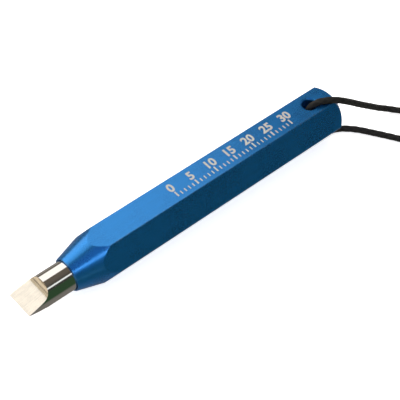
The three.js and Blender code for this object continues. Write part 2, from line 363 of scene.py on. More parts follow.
def anodised_aluminium(settings):
    """Satin dyed aluminium: drawn lines along the flats, turning rings on the nose and the dome,
    slow changes in the dye, and edges painted paler, as rubbed wear and as painted highlight."""
    material, tree, shader = new_material("anodised_handle", settings.color, 0.8, settings.roughness)
    shader.inputs["IOR"].default_value = 1.6
    shader.inputs["Coat Weight"].default_value = 0.35
    shader.inputs["Coat Roughness"].default_value = 0.22
    place = tool_space(tree)
    axes = node(tree, "SeparateXYZ", {"Vector": place}).outputs
    along, across, up = axes[0], axes[1], axes[2]
    radius = hypotenuse(tree, across, up)
    cone = calc(tree, "MULTIPLY_ADD", along, NOSE_TAPER, NOSE_RIM_RADIUS / MM)
    on_cone = calc(tree, "COMPARE", radius, cone, 0.05)
    from_dome = calc(tree, "SUBTRACT", along, (HANDLE_LENGTH - REAR_DOME_RADIUS) / MM)
    dome = hypotenuse(tree, from_dome, radius)
    on_dome = calc(tree, "COMPARE", dome, REAR_DOME_RADIUS / MM, 0.05)
    turned = calc(tree, "MAXIMUM", on_cone, on_dome)

    drawn_lines = noise(tree, stretched(tree, place, (0.12, 8, 8)), 1, 3)
    turned_rings = noise(tree, stretched(tree, place, (9, 0.02, 0.02)), 1, 3)
    machining = blend_numbers(tree, turned, drawn_lines, turned_rings)
    grain = noise(tree, place, 9, 3)
    first = bumped(tree, shader, machining, 0.5, 0.006 * MM)
    bumped(tree, shader, grain, 0.35, 0.004 * MM, under=first)

    # Edges painted paler in patches: partly rubbed wear, partly a painted edge highlight.
    rising = calc(tree, "MULTIPLY", across, math.cos(math.pi / 6))
    half_up = calc(tree, "MULTIPLY", up, 0.5)
    side_a = calc(tree, "ABSOLUTE", calc(tree, "ADD", rising, half_up))
    side_b = calc(tree, "ABSOLUTE", calc(tree, "SUBTRACT", rising, half_up))
    to_edge = calc(tree, "MINIMUM", calc(tree, "ABSOLUTE", up), calc(tree, "MINIMUM", side_a, side_b))
    near_edge = calc(tree, "MULTIPLY", fade(tree, to_edge, 0.3, 0.02), fade(tree, radius, 5.35, 5.6))
    patchy_wear_and_highlight = fade(tree, noise(tree, place, 1.3, 4), 0.42, 0.7, 0.03, 0.3)
    edge_wear_and_highlight = calc(tree, "MULTIPLY", near_edge, patchy_wear_and_highlight)

    clouds = noise(tree, place, 0.16, 2)
    streaks = noise(tree, stretched(tree, place, (0.04, 1.6, 1.6)), 1, 2)
    dye = mean(tree, clouds, streaks, 0.4)
    color = shades(tree, settings.color, fade(tree, dye, 0.32, 0.68), 0.93, 1.06)
    color = blend_colors(tree, edge_wear_and_highlight, color, EDGE_WEAR_AND_HIGHLIGHT)
    tree.links.new(color, shader.inputs["Base Color"])
    uneven = mean(tree, grain, clouds)
    rough = fade(tree, uneven, 0.3, 0.7, settings.roughness - 0.03, settings.roughness + 0.03)
    tree.links.new(calc(tree, "SUBTRACT", rough, calc(tree, "MULTIPLY", edge_wear_and_highlight, 0.06)),
                   shader.inputs["Roughness"])
    return material


def ground_steel(settings):
    """Bright steel: fine rings round the polished shank, grinding lines along the bevels, and a faint
    straw tint on the ground faces."""
    material, tree, shader = new_material("ground_steel", settings.color, 1, 0.1)
    place = tool_space(tree)
    axes = node(tree, "SeparateXYZ", {"Vector": place}).outputs
    radius = hypotenuse(tree, axes[1], axes[2])
    ground = calc(tree, "MULTIPLY", calc(tree, "LESS_THAN", radius, BIT_RADIUS / MM - 0.04),
                  calc(tree, "LESS_THAN", axes[0], -2.0))
    grind_lines = noise(tree, stretched(tree, place, (0.12, 9, 0.3)), 1, 4)
    polish_rings = noise(tree, stretched(tree, place, (7, 0.05, 0.05)), 1, 3)
    worked = blend_numbers(tree, ground, polish_rings, grind_lines)
    bumped(tree, shader, worked, blend_numbers(tree, ground, 0.12, 0.5), 0.004 * MM)
    smudges = noise(tree, place, 0.5, 3)
    low = blend_numbers(tree, ground, 0.07, 0.13)
    high = blend_numbers(tree, ground, 0.12, 0.24)
    both = mean(tree, smudges, worked)
    tree.links.new(fade(tree, both, 0.3, 0.7, low, high), shader.inputs["Roughness"])
    straw = blend_colors(tree, fade(tree, both, 0.36, 0.64), *STRAW_TINTS)
    tint = blend_colors(tree, ground, tuple(settings.color), straw)
    tree.links.new(tint, shader.inputs["Base Color"])
    return material


def black_oxide(settings):
    """Blackened steel of the grub screw, worn grey in random specks."""
    material, tree, shader = new_material("black_oxide", settings.color, 0.85, 0.4)
    place = tool_space(tree)
    speckle = noise(tree, place, 3.5, 4)
    color = shades(tree, settings.color, fade(tree, speckle, 0.5, 0.8), 1, 4)
    tree.links.new(color, shader.inputs["Base Color"])
    tree.links.new(fade(tree, speckle, 0.3, 0.7, 0.48, 0.32), shader.inputs["Roughness"])
    bumped(tree, shader, speckle, 0.3, 0.01 * MM)
    return material


def braided_yarn(settings):
    """Black braided yarn. Two sets of strands cross at turns of 4 v plus and minus the length over
    the pitch; the fibres run along whichever strand lies on top, and the grooves get painted shade."""
    material, tree, shader = new_material("cord_yarn", settings.color, 0, 0.62)
    shader.inputs["Sheen Weight"].default_value = 0.06
    shader.inputs["Sheen Roughness"].default_value = 0.4
    shader.inputs["Sheen Tint"].default_value = (0.5, 0.45, 0.4, 1)
    shader.inputs["Specular IOR Level"].default_value = 0.35
    spot = node(tree, "SeparateXYZ", {"Vector": node(tree, "TexCoord").outputs["UV"]}).outputs
    along = calc(tree, "DIVIDE", spot[0], BRAID_PITCH / MM)
    around = calc(tree, "MULTIPLY", spot[1], float(BRAID_STRANDS))
    phase_a = calc(tree, "ADD", around, along)
    phase_b = calc(tree, "SUBTRACT", around, along)
    ridge_a, ridge_b = (
        calc(tree, "ABSOLUTE", calc(tree, "COSINE", calc(tree, "MULTIPLY", phase, math.pi)))
        for phase in (phase_a, phase_b)
    )
    on_a = calc(tree, "GREATER_THAN", ridge_a, ridge_b)

    def lie(across, along):
        fine = calc(tree, "MULTIPLY", across, FIBRE_FINENESS)
        return node(tree, "CombineXYZ", {0: fine, 1: along}).outputs[0]

    lie_a, lie_b = lie(phase_a, phase_b), lie(phase_b, phase_a)
    fibres = blend_numbers(tree, on_a, noise(tree, lie_b, 1, 2), noise(tree, lie_a, 1, 2))
    crest = calc(tree, "MAXIMUM", ridge_a, ridge_b)
    # Painted shade: the base colour is darkened in the grooves between the strands.
    painted_groove_shade = fade(tree, crest, 0.7, 0.98, 0.35, 1.0)
    shade = calc(tree, "MULTIPLY", painted_groove_shade, fade(tree, fibres, 0.3, 0.7, 0.5, 1.0))
    color = shades(tree, settings.color, shade, 0.3, 1.7)
    tree.links.new(color, shader.inputs["Base Color"])
    bumped(tree, shader, fibres, 0.6, 0.05 * MM)
    return material


def tie_rubber(settings):
    """Matt rubber of the band, with fine bumps and a fine bloom."""
    material, tree, shader = new_material("tie_rubber", settings.tie_color, 0, 0.55)
    place = tool_space(tree)
    bloom = noise(tree, place, 1.4, 4)
    color = shades(tree, settings.tie_color, fade(tree, bloom, 0.35, 0.75), 0.75, 1.5)
    tree.links.new(color, shader.inputs["Base Color"])
    tree.links.new(fade(tree, bloom, 0.3, 0.7, 0.48, 0.64), shader.inputs["Roughness"])
    bumped(tree, shader, noise(tree, stretched(tree, place, (6, 1, 1)), 2, 3), 0.4, 0.02 * MM)
    return material


def etched_marks(settings):
    """Marks lasered through the dye to the pale oxide: a dry surface with fine pits."""
    material, tree, shader = new_material("etched_marks", settings.marks_color, 0, 0.62)
    place = tool_space(tree)
    pits = noise(tree, place, 5, 3)
    color = shades(tree, settings.marks_color, fade(tree, pits, 0.3, 0.7), 0.86, 1.08)
    tree.links.new(color, shader.inputs["Base Color"])
    bumped(tree, shader, pits, 0.4, 0.01 * MM)
    return material


# ---------------------------------------------------------------- bit
BEVEL_LENGTH = 3.4 * MM
BEVEL_ANGLE = 15
HONE_LENGTH = 0.35 * MM
HONE_ANGLE = 22
RUNOUT_RADIUS = 2.55 * MM
RUNOUT_END_ANGLE = 75
SHANK_FLAT_START = 9 * MM
SHANK_FLAT_DEPTH = 0.6 * MM


def grind_outline(edge_half_thickness):
    """Side outline of the steel ground away above the edge, as (along, up) pairs: a narrow honed
    bevel at the edge, a longer straight one, then the hollow run-out that the wheel leaves, an arc
    tangent to it."""
    start = math.radians(BEVEL_ANGLE)
    hone_up = edge_half_thickness + HONE_LENGTH * math.tan(math.radians(HONE_ANGLE))
    top = (-BIT_REACH + BEVEL_LENGTH, hone_up + (BEVEL_LENGTH - HONE_LENGTH) * math.tan(start))
    centre = (top[0] - RUNOUT_RADIUS * math.sin(start), top[1] + RUNOUT_RADIUS * math.cos(start))
    hollow = arc(centre, RUNOUT_RADIUS, BEVEL_ANGLE - 90, RUNOUT_END_ANGLE - 90, 14)
    clear = BIT_RADIUS + MM
    return np.concatenate([
        [(-BIT_REACH - MM, edge_half_thickness), (-BIT_REACH, edge_half_thickness)],
        [(-BIT_REACH + HONE_LENGTH, hone_up)],
        hollow,
        [(hollow[-1, 0] + 0.2 * MM, clear), (-BIT_REACH - MM, clear)],
    ])


def build_bit(settings):
    """A round bar, with both bevels and the flat for the grub screw ground off."""
    chamfer = 0.4 * MM
    points, faces = revolved([
        (-BIT_REACH, 0), (-BIT_REACH, BIT_RADIUS),
        (SHANK_LENGTH - chamfer, BIT_RADIUS), (SHANK_LENGTH, BIT_RADIUS - chamfer), (SHANK_LENGTH, 0),
    ], 240)
    bar = new_piece("bit_body", placed(points), faces)
    width = BIT_RADIUS + MM
    points, faces = prism(grind_outline(settings.edge_thickness / 2), -width, width)
    upper = points[:, [0, 2, 1]]
    flipped = [block[:, ::-1] for block in faces]
    upper_grind = new_piece("upper_grind", placed(upper), flipped)
    lower_grind = new_piece("lower_grind", placed(upper * (1, 1, -1)), faces)
    flat_top = -BIT_RADIUS + SHANK_FLAT_DEPTH
    flat_outline = [
        (SHANK_FLAT_START, flat_top), (SHANK_FLAT_START - MM, -BIT_RADIUS - MM),
        (SHANK_LENGTH + MM, -BIT_RADIUS - MM), (SHANK_LENGTH + MM, flat_top),
    ]
    points, faces = prism(flat_outline, -width, width)
    flat = new_piece("shank_flat", placed(points[:, [0, 2, 1]]), [block[:, ::-1] for block in faces])
    cut(bar, "DIFFERENCE", upper_grind, lower_grind, flat)
    finish_metal(bar)
    return bar


# ---------------------------------------------------------------- grub screw
SCREW_RADIUS = 1.4 * MM
SCREW_LENGTH = 2.2 * MM
SCREW_TIP_GAP = 0.12 * MM
SCREW_SOCKET = 1.5 * MM
THREAD_PITCH = 0.5 * MM
THREAD_DEPTH = 0.14 * MM


def build_screw():
    """A grub screw. Its side is a grid of turn and height whose radius falls from the crest by the
    depth times a triangle wave of (height over pitch minus turn), faded out at both ends; a hexagonal
    socket is cut in its outer end."""
    sides, rows = 72, 90
    turn = np.arange(sides) / sides
    height = np.linspace(0, 1, rows)[:, None] * SCREW_LENGTH
    wave = np.abs(2 * ((height / THREAD_PITCH - turn) % 1) - 1)
    ends = np.clip(np.minimum(height, SCREW_LENGTH - height) / (0.25 * MM), 0, 1)
    radius = SCREW_RADIUS - THREAD_DEPTH * (1 - wave) * ends - 0.22 * MM * (1 - ends)
    angle = 2 * np.pi * turn
    tip = -BIT_RADIUS + SHANK_FLAT_DEPTH - SCREW_TIP_GAP
    level = np.broadcast_to(tip - SCREW_LENGTH + height, radius.shape)
    points = np.stack([SCREW_AT + radius * np.cos(angle), radius * np.sin(angle), level], axis=-1)
    poles = [(SCREW_AT, 0, tip - SCREW_LENGTH), (SCREW_AT, 0, tip)]
    points = np.concatenate([points.reshape(-1, 3), poles])
    faces = [quads(rows, sides), *end_fans(sides, rows * sides)]
    piece = new_piece("grub_screw", placed(points), faces)
    corner = SCREW_SOCKET / 2 / math.cos(math.pi / 6)
    socket = arc((SCREW_AT, 0), corner, 0, 300, 5)
    socket_points, socket_faces = prism(socket, tip - SCREW_LENGTH - MM, tip - SCREW_LENGTH + 1.1 * MM)
    cut(piece, "DIFFERENCE", new_piece("socket_cutter", placed(socket_points), socket_faces))
    finish_metal(piece, sharp=35)
    return piece


# ---------------------------------------------------------------- marks
SCALE_START = 25.5 * MM
SCALE_LENGTH = 30
MARK_HEIGHT = 0.012 * MM
MARK_SINK = 0.01 * MM


def numeral(text, size, weight):
    """Points and triangles of a numeral in its own plane, its foot's middle at the origin."""
    curve = bpy.data.curves.new("numeral", "FONT")
    curve.body = text
    curve.size = size
    curve.offset = weight
    curve.align_x = "CENTER"
    curve.resolution_u = 3
    holder = bpy.data.objects.new("numeral", curve)
    bpy.context.scene.collection.objects.link(holder)
    mesh = bpy.data.meshes.new_from_object(holder.evaluated_get(bpy.context.evaluated_depsgraph_get()))
    mesh.calc_loop_triangles()
    points = np.empty(3 * len(mesh.vertices))
    mesh.vertices.foreach_get("co", points)
    triangles = np.empty(3 * len(mesh.loop_triangles), int)
    mesh.loop_triangles.foreach_get("vertices", triangles)
    bpy.data.objects.remove(holder)
    bpy.data.meshes.remove(mesh)
    bpy.data.curves.remove(curve)
    return points.reshape(-1, 3)[:, :2], triangles.reshape(-1, 3)


def build_marks(settings):
    """A millimetre scale on the marked flat: bars of three lengths with numerals above them, each
    mark a thin plate on the surface, with walls along the edges that only one triangle has."""
    foot = -1.8 * MM
    index = np.arange(SCALE_LENGTH + 1)
    length = MM * np.select([index % 10 == 0, index % 5 == 0], [1.35, 1.2], 0.85)
    half = MM * np.where(index % 5 == 0, 0.17, 0.12)
    middle = SCALE_START + index * MM
    bars = np.stack([
        np.stack([middle - half, np.full_like(middle, foot)], axis=-1),
        np.stack([middle + half, np.full_like(middle, foot)], axis=-1),
        np.stack([middle + half, foot + length], axis=-1),
        np.stack([middle - half, foot + length], axis=-1),
    ], axis=1).reshape(-1, 2)
    corners = np.arange(len(bars)).reshape(-1, 4)
    shapes = [(bars, np.concatenate([corners[:, [0, 1, 2]], corners[:, [0, 2, 3]]]))]
    for value in range(0, SCALE_LENGTH + 1, 5):
        points, triangles = numeral(str(value), settings.numeral_size, settings.numeral_weight)
        shapes.append((points + (SCALE_START + value * MM, foot + 1.62 * MM), triangles))
    flat, faces, first = [], [], 0
    for points, triangles in shapes:
        flat.append(points)
        faces.append(triangles + first)
        first += len(points)
    flat = np.concatenate(flat)
    faces = np.concatenate(faces)
    a, b, c = (flat[faces[:, corner]] for corner in range(3))
    area = (b[:, 0] - a[:, 0]) * (c[:, 1] - a[:, 1]) - (b[:, 1] - a[:, 1]) * (c[:, 0] - a[:, 0])
    faces = np.where(area[:, None] < 0, faces[:, ::-1], faces)
    sides = np.concatenate([faces[:, [0, 1]], faces[:, [1, 2]], faces[:, [2, 0]]])
    known = {tuple(side) for side in sides.tolist()}
    rim = np.array([side for side in sides.tolist() if (side[1], side[0]) not in known])
    count = len(flat)
    low = np.column_stack([flat, np.full(count, APOTHEM - MARK_SINK)])
    high = np.column_stack([flat, np.full(count, APOTHEM + MARK_HEIGHT)])
    wall = np.column_stack([rim[:, 0], rim[:, 1], rim[:, 1] + count, rim[:, 0] + count])
    return new_piece("etched_scale", placed(np.concatenate([low, high])),
                     [faces[:, ::-1], faces + count, wall])


# ---------------------------------------------------------------- cord routes
# The routes are in the model's frame, in metres, with the table at z = 0.
CORD_RADIUS = 0.7 * MM
TABLE_CORD_HEIGHT = CORD_RADIUS + 0.02 * MM
CORD_PITCH = 1.45 * MM
CORD_SIDES = 24
CORD_ROUNDS = 40
CORD_STEP = 0.16 * MM
UPPER_RUN = MM * np.array([
    (31.95, -0.25, 9.62),
    (32.05, -0.3, 10.4),
    (32.27, -0.41, 11),
    (32.68, -0.62, 11.6),
    (33.13, -0.85, 12),
    (33.72, -1.15, 12.3),
    (34.44, -1.51, 12.43),
    (35.4, -2, 12.45),
    (36.3, -2.48, 12.42),
    (37.3, -3, 12.22),
    (38.4, -3.45, 11.75),
    (39.7, -3.75, 10.95),
    (41.2, -3.85, 9.9),
    (44.2, -3.95, 7.6),
    (48, -3.95, 4.75),
    (51.2, -4, 2.4),
    (53.8, -4.75, 1.1),
    (55.2, -6.3, 1),
    (56.2, -8, 1.5),
    (57.2, -9.5, 2),
])
KNOT_LEAD = MM * np.array([
    (61.2, -11.9, 2.12),
    (62.4, -12.1, 2.2),
    (63.6, -12, 2.4),
])
LOWER_RUN = MM * np.array([
    (32.1, 0.12, 3.52),
    (32.19, 0.1, 2.8),
    (32.48, 0.04, 2.1),
    (32.84, -0.04, 1.6),
    (33.3, -0.14, 1.2),
    (33.87, -0.26, 0.9),
    (34.84, -0.47, 0.72),
    (36.6, -0.82, 0.72),
    (38.6, -1.25, 0.72),
    (41.1, -2, 0.72),
    (43.1, -3.6, 0.72),
    (44.6, -5.3, 0.72),
    (46.4, -7.9, 0.72),
    (48.2, -10.55, 0.72),
    (49.9, -13.1, 0.72),
    (52.6, -15.9, 0.72),
    (56.4, -18, 0.72),
    (60.5, -18.9, 0.9),
    (64.4, -19, 1.15),
])
IN_HOLE_UPPER = MM * np.array([(32.4, 0, 6.9), (32.05, -0.15, 8.4)])
IN_HOLE_LOWER = MM * np.array([(32.25, 0.08, 4.6), (32.42, 0.02, 5.8), (32.4, 0, 6.85)])
KNOT_CENTRE = MM * np.array((59.3, -11.15, 2.14))
KNOT_LIFT = 0.35 * MM
KNOT_DIP = 0.1 * MM
KNOT_TURNS = 3
KNOT_POINTS = 121
KNOT_REACH = 2.02 * CORD_RADIUS
KNOT_TAIL = 4.6 * MM
KNOT_TAIL_BEND = 14 * MM
KNOT_STEP = 0.15 * MM
KNOT_ROUNDS = 12
HANK_CENTRE = MM * np.array((78.8, -14.8))
HANK_HALF_LENGTH = 12 * MM
HANK_WAIST = 0.8 * MM
HANK_LOBE = 2.92 * MM
HANK_ENTRY = -0.17
HANK_EXIT = 2.66
HANK_STEP = 0.01
HANK_INWARD = (0.64, 0.88)
HANK_DOWN = (1.45, 1.7)
HANK_OUTWARD = (2.35, 2.55)
TIE_WIDTH = 3 * MM
TIE_THICKNESS = 0.5 * MM
TIE_CORNER = MM
TIE_SIDE_GAP = 0.3 * MM
TIE_HEIGHT_GAP = 0.2 * MM


def hank_loop():
    """Plan of one fold round the hank: round lobes at both ends, and between them sides whose
    distance from the middle eases by a cubic step from the lobe's radius to the waist's half width.
    Gives points at equal steps, clockwise from the middle of the upper side, with their normals."""
    reach = HANK_HALF_LENGTH - HANK_LOBE
    side = np.linspace(0, 1, 60, endpoint=False)
    half_width = HANK_WAIST + (HANK_LOBE - HANK_WAIST) * smooth_step(side, 0, 1)
    half_side = np.stack([reach * side, half_width], axis=1)
    lobe = arc((reach, 0), HANK_LOBE, 90, -90, 60)[:-1]
    quarter = np.concatenate([half_side, lobe])
    back = np.concatenate([[(reach, -HANK_LOBE)], half_side[:0:-1] * (1, -1)])
    right = np.concatenate([quarter, back])
    loop = np.concatenate([right, -right])
    closed = np.column_stack([np.concatenate([loop, loop[:1]]), np.zeros(len(loop) + 1)])
    points = resampled(closed, 0.1 * MM)[:-1, :2]
    ahead = np.roll(points, -1, axis=0) - np.roll(points, 1, axis=0)
    return points, unit(np.stack([-ahead[:, 1], ahead[:, 0]], axis=1))


def hank_path():
    """The folds from the upper run's entry to the lower run's exit, counted in rounds from the middle
    of the upper side: an outer round and an inner one on the upper layer, down, and out again on the
    lower layer. The lane and the height change by smooth steps."""
    rounds = np.arange(HANK_ENTRY, HANK_EXIT, HANK_STEP)
    offset = CORD_PITCH * (1 - smooth_step(rounds, *HANK_INWARD) + smooth_step(rounds, *HANK_OUTWARD))
    points, normals = hank_loop()
    spot = (rounds % 1) * len(points)
    index = np.arange(len(points) + 1)
    wrapped = np.concatenate([points, points[:1]])
    outward = np.concatenate([normals, normals[:1]])
    plan = np.stack([
        np.interp(spot, index, wrapped[:, axis]) + offset * np.interp(spot, index, outward[:, axis])
        for axis in range(2)
    ], axis=1) + HANK_CENTRE
    floor = TIE_THICKNESS + TIE_HEIGHT_GAP / 2 + CORD_RADIUS
    return np.column_stack([plan, floor + CORD_PITCH * (1 - smooth_step(rounds, *HANK_DOWN))])


def smooth_step(value, start, end):
    """0 before start, 1 after end, and a cubic blend between."""
    part = np.clip((value - start) / (end - start), 0, 1)
    return part * part * (3 - 2 * part)


def smooth_path(points, step, rounds):
    """A Catmull-Rom curve through the points, resampled at equal steps of its length and relaxed by
    repeated averaging with its neighbours, so that its curvature changes slowly."""
    ends = np.concatenate([2 * points[:1] - points[1:2], points, 2 * points[-1:] - points[-2:-1]])
    part = np.linspace(0, 1, 24, endpoint=False)[None, :, None]
    p0, p1, p2, p3 = (ends[first:len(ends) - 3 + first, None] for first in range(4))
    curve = 0.5 * (2 * p1 + (p2 - p0) * part + (2 * p0 - 5 * p1 + 4 * p2 - p3) * part ** 2
                   + (3 * p1 - p0 - 3 * p2 + p3) * part ** 3)
    curve = np.concatenate([curve.reshape(-1, 3), points[-1:]])
    curve = resampled(curve, step)
    for _ in range(rounds):
        curve[1:-1] = 0.5 * curve[1:-1] + 0.25 * (curve[:-2] + curve[2:])
    return resampled(curve, step)


def resampled(curve, step):
    """The same curve with its points at equal distances."""
    reached = travelled(curve)
    count = max(2, round(reached[-1] / step)) + 1
    return at_lengths(curve, np.linspace(0, reached[-1], count))


def travelled(path):
    """The length of a path up to each of its points."""
    steps = np.linalg.norm(np.diff(path, axis=0), axis=1)
    return np.concatenate([[0], np.cumsum(steps)])


def at_lengths(path, stops):
    """Points of a path at given lengths along it."""
    reached = travelled(path)
    return np.stack([np.interp(stops, reached, path[:, axis]) for axis in range(3)], axis=1)


def unit(vectors):
    return vectors / np.linalg.norm(vectors, axis=1, keepdims=True)


def path_normals(path):
    """Two normals at each point of a path. Each point's first normal is the last one's with its part
    along the new tangent taken away, so the section doesn't twist."""
    tangent = unit(np.gradient(path, axis=0))
    normal = np.empty_like(path)
    start = np.cross(tangent[0], (0.31, 0.83, 0.17))
    normal[0] = start / np.linalg.norm(start)
    for ring in range(1, len(path)):
        carried = normal[ring - 1] - tangent[ring] * (normal[ring - 1] @ tangent[ring])
        normal[ring] = carried / np.linalg.norm(carried)
    return normal, np.cross(tangent, normal)


# ---------------------------------------------------------------- braided cord
BRAID_STRANDS = 4
BRAID_PITCH = 1.9 * MM


def braided_tube(name, path, depth):
    """A tube along a path whose radius follows a round braid: at a length l and a turn v the strands
    are the greater of two crossing ridges, |cos(pi (4 v + l / pitch))| and |cos(pi (4 v - l / pitch))|.
    Both ends close in small domes."""
    sides = CORD_SIDES
    normal, side = path_normals(path)
    length = travelled(path)
    turn = np.arange(sides) / sides
    phase = BRAID_STRANDS * turn[None, :]
    along = length[:, None] / BRAID_PITCH
    one_way, other_way = (np.abs(np.cos(np.pi * (phase + sign * along))) for sign in (1, -1))
    ridge = np.maximum(one_way, other_way)
    ends = np.minimum(length, length[-1] - length) / CORD_RADIUS
    cap = np.sqrt(np.clip(1 - (1 - np.clip(ends, 0, 1)) ** 2, 0.05, 1))[:, None]
    reach = CORD_RADIUS * cap * (1 - depth * (1 - ridge))
    angle = 2 * np.pi * turn[None, :, None]
    outward = normal[:, None] * np.cos(angle) + side[:, None] * np.sin(angle)
    rings = path[:, None] + reach[..., None] * outward
    points = np.concatenate([rings.reshape(-1, 3), path[:1], path[-1:]])
    faces = [quads(len(path), sides), *end_fans(sides, len(path) * sides)]
    row = np.repeat(np.arange(len(path) - 1), sides)
    column = np.tile(np.arange(sides), len(path) - 1)
    corner_u = np.stack([length[row], length[row], length[row + 1], length[row + 1]], axis=1) / MM
    corner_v = np.stack([column, column + 1, column + 1, column], axis=1) / sides
    wall_uv = np.stack([corner_u, corner_v], axis=-1).reshape(-1, 2)
    caps_uv = np.zeros((6 * sides, 2))
    piece = new_piece(name, points, faces, uv=np.concatenate([wall_uv, caps_uv]))
    piece.data.shade_smooth()
    return piece


def cord_route():
    """The whole loop, from the middle of the hole up over the rear of the handle, through the knot,
    round the folds and back under the handle."""
    in_knot = KNOT_CENTRE + (0, 0, KNOT_LIFT)
    before_knot = 0.45 * UPPER_RUN[-1] + 0.55 * in_knot - (0, 0, KNOT_DIP)
    route = np.concatenate([
        IN_HOLE_UPPER, UPPER_RUN, [before_knot, in_knot], KNOT_LEAD,
        hank_path()[2:-2], LOWER_RUN[::-1], IN_HOLE_LOWER,
    ])
    return smooth_path(route, CORD_STEP, CORD_ROUNDS)


def knot_route(path):
    """A barrel knot: three turns of a helix one cord wide round the cord's own line, each end leaving
    under the cord and bending gently away along the table."""
    middle = travelled(path)[np.argmin(np.linalg.norm(path - KNOT_CENTRE, axis=1))]
    part = np.linspace(0, 1, KNOT_POINTS)
    line = at_lengths(path, middle + CORD_PITCH * KNOT_TURNS * (part - 0.5))
    along = unit(np.gradient(line, axis=0))
    across = unit(np.cross((0, 0, 1), along))
    above = np.cross(along, across)
    angle = (np.pi - 2 * np.pi * KNOT_TURNS * part)[:, None]
    helix = line + KNOT_REACH * (np.sin(angle) * across + np.cos(angle) * above)

    def tail(end, side):
        reach = np.linspace(0.2, 1, 8)[:, None] * KNOT_TAIL
        points = helix[end] + side * (reach * across[end] + reach ** 2 / KNOT_TAIL_BEND * along[end])
        points[:, 2] = TABLE_CORD_HEIGHT
        return points

    route = np.concatenate([tail(0, -1)[::-1], helix, tail(-1, 1)])
    return smooth_path(route, KNOT_STEP, KNOT_ROUNDS)


def build_tie():
    """A soft band: a flat section with round edges, carried round a rectangle with round corners."""
    half_width = HANK_WAIST + CORD_PITCH + CORD_RADIUS + TIE_SIDE_GAP
    height = CORD_PITCH + 2 * CORD_RADIUS + TIE_HEIGHT_GAP
    corner = TIE_CORNER
    centre_z = TIE_THICKNESS + height / 2
    half_y = half_width + TIE_THICKNESS / 2 - corner
    half_z = height / 2 + TIE_THICKNESS / 2 - corner
    loop = np.concatenate([
        arc((half_y, half_z), corner, 0, 90, 8), arc((-half_y, half_z), corner, 90, 180, 8),
        arc((-half_y, -half_z), corner, 180, 270, 8), arc((half_y, -half_z), corner, 270, 360, 8),
    ])
    outward = unit(loop - np.sign(loop) * (half_y, half_z))
    edge = TIE_THICKNESS / 2
    flat = TIE_WIDTH / 2 - edge
    section = np.concatenate([arc((flat, 0), edge, -90, 90, 6), arc((-flat, 0), edge, 90, 270, 6)])
    across = loop[:, None] + section[None, :, 1:] * outward[:, None]
    along = np.broadcast_to(section[None, :, :1], (*across.shape[:2], 1))
    points = np.concatenate([along, across], axis=-1)
    points = points.reshape(-1, 3) + (HANK_CENTRE[0], HANK_CENTRE[1], centre_z)
    rows, columns = len(loop), len(section)
    faces = quads(rows + 1, columns) % (rows * columns)
    piece = new_piece("hank_tie_band", points, [faces[:, ::-1]])
    piece.data.shade_smooth()
    return piece


class ChiselHandleSettings(bpy.types.PropertyGroup):
    edge_radius: FloatProperty(
        name="Edge Radius", description="Rounding along the bar's six long edges",
        default=0.2 * MM, min=0.02 * MM, max=MM, unit="LENGTH")
    rim_rounding: FloatProperty(
        name="Rim Rounding", description="Rounding of the nose's rim",
        default=0.1 * MM, min=0.01 * MM, max=0.3 * MM, unit="LENGTH")
    hole_rounding: FloatProperty(
        name="Hole Rounding", description="Rounding of the cord hole's two mouths",
        default=0.5 * MM, min=0.05 * MM, max=MM, unit="LENGTH")
    color: FloatVectorProperty(
        name="Anodising", description="Colour of the anodised aluminium",
        default=(0.011, 0.203, 0.57), min=0, max=1, size=3, subtype="COLOR")
    roughness: FloatProperty(
        name="Satin", description="Roughness of the anodised surface",
        default=0.28, min=0.05, max=0.9, subtype="FACTOR")


class CHISEL_OT_handle(bpy.types.Operator):
    """Build the anodised handle, turned, bored and drilled"""
    bl_idname = "chisel.handle"
    bl_label = "Handle"

    def execute(self, context):
        settings = context.scene.chisel_handle
        body = build_handle(settings)
        paint(body, anodised_aluminium(settings))
        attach(body, "handle")
        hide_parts("handle")
        return {"FINISHED"}


class ChiselMarksSettings(bpy.types.PropertyGroup):
    numeral_size: FloatProperty(
        name="Numeral Size", description="Height of the numerals' type",
        default=2.75 * MM, min=MM, max=4 * MM, unit="LENGTH")
    numeral_weight: FloatProperty(
        name="Numeral Weight", description="How far the strokes are thickened",
        default=0.09 * MM, min=0, max=0.2 * MM, unit="LENGTH")
    marks_color: FloatVectorProperty(
        name="Marks", description="Colour of the lasered marks",
        default=(0.6, 0.57, 0.51), min=0, max=1, size=3, subtype="COLOR")


class CHISEL_OT_marks(bpy.types.Operator):
    """Mark a millimetre scale on the handle's upper flat"""
    bl_idname = "chisel.marks"
    bl_label = "Scale"

    def execute(self, context):
        settings = context.scene.chisel_marks
        marks = build_marks(settings)
        paint(marks, etched_marks(settings))
        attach(marks, "handle")
        return {"FINISHED"}


class ChiselBitSettings(bpy.types.PropertyGroup):
    edge_thickness: FloatProperty(
        name="Edge Thickness", description="Flat left along the cutting edge",
        default=0.04 * MM, min=0.01 * MM, max=0.5 * MM, unit="LENGTH")
    color: FloatVectorProperty(
        name="Steel", description="Colour of the polished steel",
        default=(0.75, 0.735, 0.715), min=0, max=1, size=3, subtype="COLOR")


class CHISEL_OT_bit(bpy.types.Operator):
    """Build the round bit with its two ground bevels"""
    bl_idname = "chisel.bit"
    bl_label = "Bit"

    def execute(self, context):
        settings = context.scene.chisel_bit
        body = build_bit(settings)
        paint(body, ground_steel(settings))
        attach(body, "bit")
        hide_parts("cutter_bit")
        return {"FINISHED"}


class ChiselScrewSettings(bpy.types.PropertyGroup):
    color: FloatVectorProperty(
        name="Black Oxide", description="Colour of the blackened steel",
        default=(0.03, 0.03, 0.032), min=0, max=1, size=3, subtype="COLOR")


class CHISEL_OT_screw(bpy.types.Operator):
    """Build the grub screw that clamps the bit"""
    bl_idname = "chisel.screw"
    bl_label = "Grub Screw"

    def execute(self, context):
        body = build_screw()
        paint(body, black_oxide(context.scene.chisel_screw))
        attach(body, "screw")
        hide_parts("clamp_screw")
        return {"FINISHED"}


